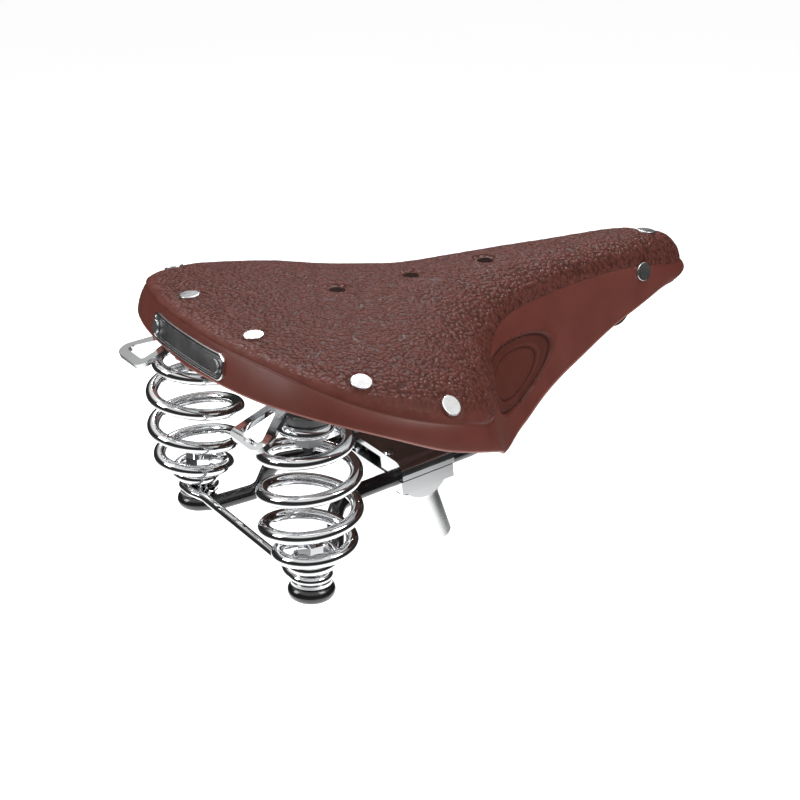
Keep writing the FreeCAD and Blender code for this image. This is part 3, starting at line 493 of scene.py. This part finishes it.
def leather_relief(grid):
    """Height above the plain surface at every point of the left half grid, in millimetres."""
    columns = np.arange(grid.shape[1])[None, :]
    height = np.zeros(grid.shape[:2])
    grained = smooth_step((CROWN - 1.0 - columns) / 4.0)
    height[:, :CROWN] += GRAIN_HEIGHT * undulation(grid[:, :CROWN]) * grained[:, :CROWN]
    shoulder = grid[:, CROWN - 1]
    from_crease = np.linalg.norm(grid - shoulder[:, None], axis=2)
    height -= CREASE_DEPTH * np.exp(-(from_crease / CREASE_WIDTH) ** 2)
    for x, y in REAR_RIVETS:
        height += dimple(grid, nearest(grid, x, y), *REAR_RIVET_DIMPLE)
    height += dimple(grid, nearest(grid, NOSE_TOP_RIVET_X, 0.0), *NOSE_RIVET_DIMPLE)
    height += dimple(grid, NOSE_SIDE_RIVET, *NOSE_RIVET_DIMPLE)
    for x in VENTS:
        height += dimple(grid, nearest(grid, x, 0.0), *VENT_DIMPLE)
    return height + embossed_oval(grid)


def ring_order(rows):
    """The sections all the way round: along the left half and back along its mirror image."""
    return list(range(rows)) + list(range(rows - 2, 0, -1))


def ring_mesh(outer, inner, rim_steps):
    """Points, faces and each face's strip column for a closed shell, from the left halves of its skins."""
    rows = outer.shape[0]
    ring_rows = ring_order(rows)
    sides = [1.0] * rows + [-1.0] * (rows - 2)
    middle = 0.5 * (outer[:, -1] + inner[:, -1])
    half = outer[:, -1] - middle
    rim = []
    for angle in np.linspace(0.0, math.pi, rim_steps + 2)[1:-1]:
        down = np.array([0.0, 0.0, -RIM_ROUND]) * math.sin(angle)
        rim.append(middle + half * math.cos(angle) + down)
    # One strip of columns runs from the outer spine over the rim and back to the inner spine.
    strip = np.concatenate([outer[:, 1:], np.stack(rim, axis=1), inner[:, :0:-1]], axis=1)
    width = strip.shape[1]
    points = [outer[:, 0], inner[:, 0]]
    for row, side in zip(ring_rows, sides):
        points.append(strip[row] * (1.0, side, 1.0))
    count = len(ring_rows)
    faces = []
    columns = []
    for k in range(count):
        after = (k + 1) % count
        here = 2 * rows + k * width
        there = 2 * rows + after * width
        faces.append((ring_rows[k], here, there, ring_rows[after]))
        columns.append(0)
        for j in range(width - 1):
            faces.append((here + j, here + j + 1, there + j + 1, there + j))
            columns.append(j + 1)
        faces.append((here + width - 1, rows + ring_rows[k], rows + ring_rows[after], there + width - 1))
        columns.append(width)
    return np.concatenate(points), faces, np.array(columns)


def make_leather():
    """The whole cover: grained crown, smooth skirt, burnished edge and rough underside whose colour is
    darkened with painted shade, with its vents.
    """
    rows = station_rows(ROWS)
    outer = leather_grid(0.0, rows, CROWN, SKIRT)
    inner = leather_grid(LEATHER_THICKNESS, rows, CROWN, SKIRT)
    outer = outer + grid_normals(outer) * leather_relief(outer)[:, :, None]
    points, faces, column = ring_mesh(outer, inner, RIM_STEPS)
    edge_start = CROWN + SKIRT
    grained, skirt, edge, shaded_under = range(4)
    slots = np.full(len(faces), shaded_under)
    slots[column < edge_start + RIM_STEPS + 1] = edge
    slots[column < edge_start - 1] = skirt
    slots[column < CROWN - 1] = grained
    leather = new_mesh("leather_cover", points * MM, faces, [PEBBLED, SMOOTH, EDGE, UNDERSIDE_PAINTED_SHADE], slots)
    add_grain_fade(leather, outer, inner)
    cut_vents(leather, outer)
    return leather


def add_grain_fade(leather, outer, inner):
    """Point attribute: 1 where the top is fully grained, falling to 0 at the rear border of the grain."""
    border = outer[:, CROWN - 1]
    distance = np.linalg.norm(outer - border[:, None], axis=2)
    rear = smooth_step((REAR_FADE_END - border[:, 0]) / REAR_FADE_LEAD)[:, None]
    grain = 1.0 - rear * (1.0 - smooth_step(distance / REAR_FADE_WIDTH))
    rows = outer.shape[0]
    strip = np.ones((rows, outer.shape[1] - 1 + RIM_STEPS + inner.shape[1] - 1))
    strip[:, :outer.shape[1] - 1] = grain[:, 1:]
    values = np.concatenate([grain[:, 0], np.ones(rows), strip[ring_order(rows)].ravel()])
    layer = leather.data.attributes.new("grain", "FLOAT", "POINT")
    layer.data.foreach_set("value", values)


def cut_vents(leather, outer):
    """Cuts the vent holes through the middle of the top and keeps their rims crisp."""
    points = []
    faces = []
    for x in VENTS:
        z = nearest(outer, x, 0.0)[2]
        start = len(points)
        for height in (z - VENT_CUT_BELOW, z + VENT_CUT_ABOVE):
            for k in range(VENT_SIDES):
                angle = 2.0 * math.pi * k / VENT_SIDES
                points.append((x + VENT_RADIUS * math.cos(angle), VENT_RADIUS * math.sin(angle), height))
        for k in range(VENT_SIDES):
            after = (k + 1) % VENT_SIDES
            faces.append((start + k, start + after, start + VENT_SIDES + after, start + VENT_SIDES + k))
        faces.append(tuple(start + k for k in range(VENT_SIDES - 1, -1, -1)))
        faces.append(tuple(start + VENT_SIDES + k for k in range(VENT_SIDES)))
    # The cut walls take the underside colour, so the inside of each vent is darkened with painted shade.
    cutter = new_mesh("vent_cutter", np.array(points) * MM, faces, [UNDERSIDE_PAINTED_SHADE])
    cut = leather.modifiers.new("vents", "BOOLEAN")
    cut.operation = "DIFFERENCE"
    cut.solver = "MANIFOLD"
    cut.object = cutter
    final = bpy.data.meshes.new_from_object(leather.evaluated_get(bpy.context.evaluated_depsgraph_get()))
    leather.modifiers.clear()
    leather.data = final
    bpy.data.objects.remove(cutter)
    final.set_sharp_from_angle(angle=math.radians(50.0))


# ---- name badge -----------------------------------------------------------------------------------
def rear_surface(y, z):
    """x of the plain rear skirt at each y and z."""
    rows = station_rows(ROWS)[:ROWS // 3]
    skirt = leather_grid(0.0, rows, 2, 60)[:, 2:]
    found = []
    for one_y, one_z in zip(np.ravel(y), np.ravel(z)):
        along = [np.interp(-one_z, -line[:, 2], line[:, 1]) for line in skirt]
        across = [np.interp(-one_z, -line[:, 2], line[:, 0]) for line in skirt]
        found.append(np.interp(abs(one_y), along, across))
    return np.array(found).reshape(np.shape(y))


def rounded_outline(half_length, half_height, radius, spacing):
    """Centre and outward direction at points round a rectangle with rounded corners."""
    centres = []
    outward = []
    core_y = half_length - radius
    core_z = half_height - radius
    corners = ((core_y, core_z), (-core_y, core_z), (-core_y, -core_z), (core_y, -core_z))
    for k, (y, z) in enumerate(corners):
        for angle in np.linspace(90.0 * k, 90.0 * (k + 1), 9):
            centres.append((y, z))
            outward.append((math.cos(math.radians(angle)), math.sin(math.radians(angle))))
        next_y, next_z = corners[(k + 1) % 4]
        steps = int(math.hypot(next_y - y, next_z - z) / spacing)
        for step in range(1, steps):
            f = step / steps
            centres.append((y + (next_y - y) * f, z + (next_z - z) * f))
            outward.append(outward[-1])
    return np.array(centres), np.array(outward)


def make_badge():
    """A curved plate with a bright raised rim and a dark field, left blank but for a thin inner line."""
    centres, outward = rounded_outline(0.5 * BADGE_LENGTH, 0.5 * BADGE_HEIGHT, BADGE_CORNER, 1.0)
    count = len(centres)
    rings = []
    for inset, height, _ in BADGE_PROFILE:
        place = centres + outward * (BADGE_CORNER - inset)
        rings.append(on_rear(place[:, 0], BADGE_Z + place[:, 1], height))
    points = list(np.concatenate(rings))
    faces = []
    slots = []
    for k in range(len(rings) - 1):
        for j in range(count):
            after = (j + 1) % count
            faces.append((k * count + j, k * count + after, (k + 1) * count + after, (k + 1) * count + j))
            slots.append(BADGE_PROFILE[k][2])
    # The field inside the last ring closes over a middle line.
    last = (len(rings) - 1) * count
    inset, height, _ = BADGE_PROFILE[-1]
    place = centres + outward * (BADGE_CORNER - inset)
    reach = 0.5 * BADGE_LENGTH - BADGE_CORNER - BADGE_MIDDLE_INSET
    middle = on_rear(np.clip(place[:, 0], -reach, reach), np.full(count, BADGE_Z), height)
    points.extend(middle)
    for j in range(count):
        after = (j + 1) % count
        faces.append((last + j, last + after, last + count + after, last + count + j))
        slots.append(FIELD)
    badge = new_mesh("badge_plate", np.array(points) * MM, faces, [BADGE_RIM, BADGE_FIELD], slots)
    merge_close(badge.data, 0.02 * MM)
    badge.data.set_sharp_from_angle(angle=math.radians(40.0))
    return badge


def merge_close(mesh, distance):
    """Joins points that are closer than distance and drops the faces this empties."""
    build = bmesh.new()
    build.from_mesh(mesh)
    bmesh.ops.remove_doubles(build, verts=build.verts, dist=distance)
    bmesh.ops.dissolve_degenerate(build, edges=build.edges, dist=distance)
    build.to_mesh(mesh)
    build.free()


def on_rear(y, z, height):
    """Points above the rear skirt by height, along its outward normal."""
    step = 0.5
    x = rear_surface(y, z)
    slope_y = (rear_surface(y + step, z) - rear_surface(y - step, z)) / (2.0 * step)
    slope_z = (rear_surface(y, z + step) - rear_surface(y, z - step)) / (2.0 * step)
    normal = np.stack([-np.ones_like(x), slope_y, slope_z], axis=1)
    normal /= np.linalg.norm(normal, axis=1)[:, None]
    return np.stack([x, y, z], axis=1) + normal * height


# ---- springs --------------------------------------------------------------------------------------
def table_curve(table, at):
    """Each column of a table along its rising first column, with slopes from the neighbours."""
    t = table[:, 0]
    values = table[:, 1:]
    last = len(table) - 1
    slope = np.empty(values.shape)
    for k in range(len(table)):
        low, high = max(k - 1, 0), min(k + 1, last)
        slope[k] = (values[high] - values[low]) / (t[high] - t[low])
    k = np.clip(np.searchsorted(t, at) - 1, 0, last - 1)
    span = (t[k + 1] - t[k])[:, None]
    f = (at - t[k])[:, None] / span
    s1 = slope[k] * span
    s2 = slope[k + 1] * span
    h = values[k + 1] - values[k]
    return values[k] + s1 * f + (3 * h - 2 * s1 - s2) * f ** 2 + (s1 + s2 - 2 * h) * f ** 3


def make_spring(side, name):
    """A barrel spring, wound the other way on the other side."""
    turns = np.linspace(SPRING_TURNS[0, 0], SPRING_TURNS[-1, 0], SPRING_STEPS)
    radius, height = table_curve(SPRING_TURNS, turns).T
    angle = np.radians(SPRING_START[side] - side * 360.0 * (turns - SPRING_START_TURN))
    path = np.stack([
        SPRING_AXIS[0] + radius * np.cos(angle),
        side * SPRING_AXIS[1] + radius * np.sin(angle),
        height,
    ], axis=1)
    return tube(name, path * MM, 0.5 * SPRING_WIRE * MM, SPRING_SIDES, CHROME)


# ---- put the pieces together ----------------------------------------------------------------------
leather = make_leather()
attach(leather, "top")
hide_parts("leather_top")

badge = make_badge()
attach(badge, "top")
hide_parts("name_badge")

for side, hand in ((1, "left"), (-1, "right")):
    spring = make_spring(side, f"{hand}_coil")
    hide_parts(f"{hand}_spring")
    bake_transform(spring)

NODE_MATERIALS = {
    ZINC: ("cantle_plate", "nose_piece", "tension_bolt", "tension_nut", "spring_top_nuts"),
    CRADLE: ("lower_cradle", "upper_cradle"),
    NICKEL: ("rear_rivets", "nose_rivets", "badge_rivets"),
    CHROME: ("shackle", "shackle_pin", "tie_rod", "spring_top_bolts", "spring_top_washers",
             "spring_bottom_bolts", "spring_bottom_nuts", "rail_ring_washers", "left_bag_loop",
             "right_bag_loop", "clamp_screws", "pivot_bolt", "pivot_nut", "pivot_washers"),
    BLACK: ("left_rail", "right_rail"),
    ALLOY: ("post_head",),
}
for material, names in NODE_MATERIALS.items():
    for name in names:
        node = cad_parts[name]
        for slot in node.material_slots:
            slot.material = material


# ---- floor, light and camera ----------------------------------------------------------------------
def make_floor():
    """A white floor. Polished pieces mirror it as dark beyond the light round the saddle."""
    size = FLOOR_HALF_SIZE
    corners = [(-size, -size, FLOOR_Z), (size, -size, FLOOR_Z), (size, size, FLOOR_Z), (-size, size, FLOOR_Z)]
    n = Nodes("floor_white")
    n.link(n.ramp(n.noise(3.0, 2.0), [(0.3, 0.93), (0.7, 0.95)]), n.shader.inputs["Base Color"])
    n.set(Roughness=0.9, Specular_IOR_Level=0.1, Emission_Color=(1.0, 1.0, 1.0, 1.0), Emission_Strength=0.62)
    reach = n.add("ShaderNodeVectorMath", operation="LENGTH")
    n.link(n.place, reach.inputs[0])
    far = n.ramp(reach.outputs["Value"], [(0.28, 0.0), (0.46, 1.0)])
    mirrored = n.add("ShaderNodeMath", operation="MULTIPLY")
    n.link(n.add("ShaderNodeLightPath").outputs["Is Glossy Ray"], mirrored.inputs[0])
    n.link(far, mirrored.inputs[1])
    dark = n.add("ShaderNodeEmission")
    dark.inputs["Color"].default_value = (0.03, 0.03, 0.03, 1.0)
    mix = n.add("ShaderNodeMixShader")
    n.link(mirrored.outputs["Value"], mix.inputs["Fac"])
    n.link(n.shader.outputs["BSDF"], mix.inputs[1])
    n.link(dark.outputs["Emission"], mix.inputs[2])
    n.link(mix.outputs["Shader"], n.tree.nodes["Material Output"].inputs["Surface"])
    floor = new_mesh("floor", corners, [(0, 1, 2, 3)], [n.material])


def add_light(name, location, target, size, power):
    """A rectangular lamp that faces its target."""
    light = bpy.data.lights.new(name, "AREA")
    light.shape = "RECTANGLE"
    light.size, light.size_y = size
    light.energy = power
    obj = bpy.data.objects.new(name, light)
    obj.location = location
    obj.rotation_euler = (Vector(target) - Vector(location)).to_track_quat("-Z", "Y").to_euler()
    bpy.context.scene.collection.objects.link(obj)


def make_world():
    """Even pale light, while polished pieces mirror a studio with a dark band round the horizon."""
    world = bpy.data.worlds.new("studio")
    world.use_nodes = True
    tree = world.node_tree
    pale = tree.nodes["Background"]
    pale.inputs["Color"].default_value = (1.0, 1.0, 1.0, 1.0)
    pale.inputs["Strength"].default_value = 0.36
    studio = tree.nodes.new("ShaderNodeBackground")
    place = tree.nodes.new("ShaderNodeTexCoord")
    split = tree.nodes.new("ShaderNodeSeparateXYZ")
    ramp = tree.nodes.new("ShaderNodeValToRGB")
    tree.links.new(place.outputs["Generated"], split.inputs["Vector"])
    tree.links.new(split.outputs["Z"], ramp.inputs["Fac"])
    elements = ramp.color_ramp.elements
    while len(elements) < len(STUDIO_BANDS):
        elements.new(0.5)
    for element, (position, grey) in zip(elements, STUDIO_BANDS):
        element.position = position
        element.color = (grey, grey, grey, 1.0)
    tree.links.new(ramp.outputs["Color"], studio.inputs["Color"])
    rays = tree.nodes.new("ShaderNodeLightPath")
    mix = tree.nodes.new("ShaderNodeMixShader")
    tree.links.new(rays.outputs["Is Glossy Ray"], mix.inputs["Fac"])
    tree.links.new(pale.outputs["Background"], mix.inputs[1])
    tree.links.new(studio.outputs["Background"], mix.inputs[2])
    tree.links.new(mix.outputs["Shader"], tree.nodes["World Output"].inputs["Surface"])
    bpy.context.scene.world = world


def make_camera():
    data = bpy.data.cameras.new("camera")
    data.lens = CAMERA_LENS
    data.sensor_width = CAMERA_SENSOR
    data.clip_start = 0.01
    camera = bpy.data.objects.new("camera", data)
    camera.location = CAMERA_PLACE
    camera.rotation_euler = Euler((math.radians(CAMERA_TILT), 0.0, math.radians(CAMERA_TURN)))
    bpy.context.scene.collection.objects.link(camera)
    bpy.context.scene.camera = camera


make_floor()
make_world()
add_light("overhead", (-0.1, -0.1, 0.9), (0.0, 0.0, 0.05), (0.7, 0.5), 1.7)
add_light("key", (0.22, -0.48, 0.5), (0.03, 0.0, 0.08), (0.3, 0.3), 1.8)
add_light("back", (0.36, 0.55, 0.68), (0.02, 0.0, 0.09), (0.35, 0.25), 4.4)
add_light("rear_left", (-0.75, 0.25, 0.42), (-0.05, 0.0, 0.08), (0.3, 0.4), 2.4)
make_camera()
bpy.context.scene.view_settings.view_transform = "Standard"
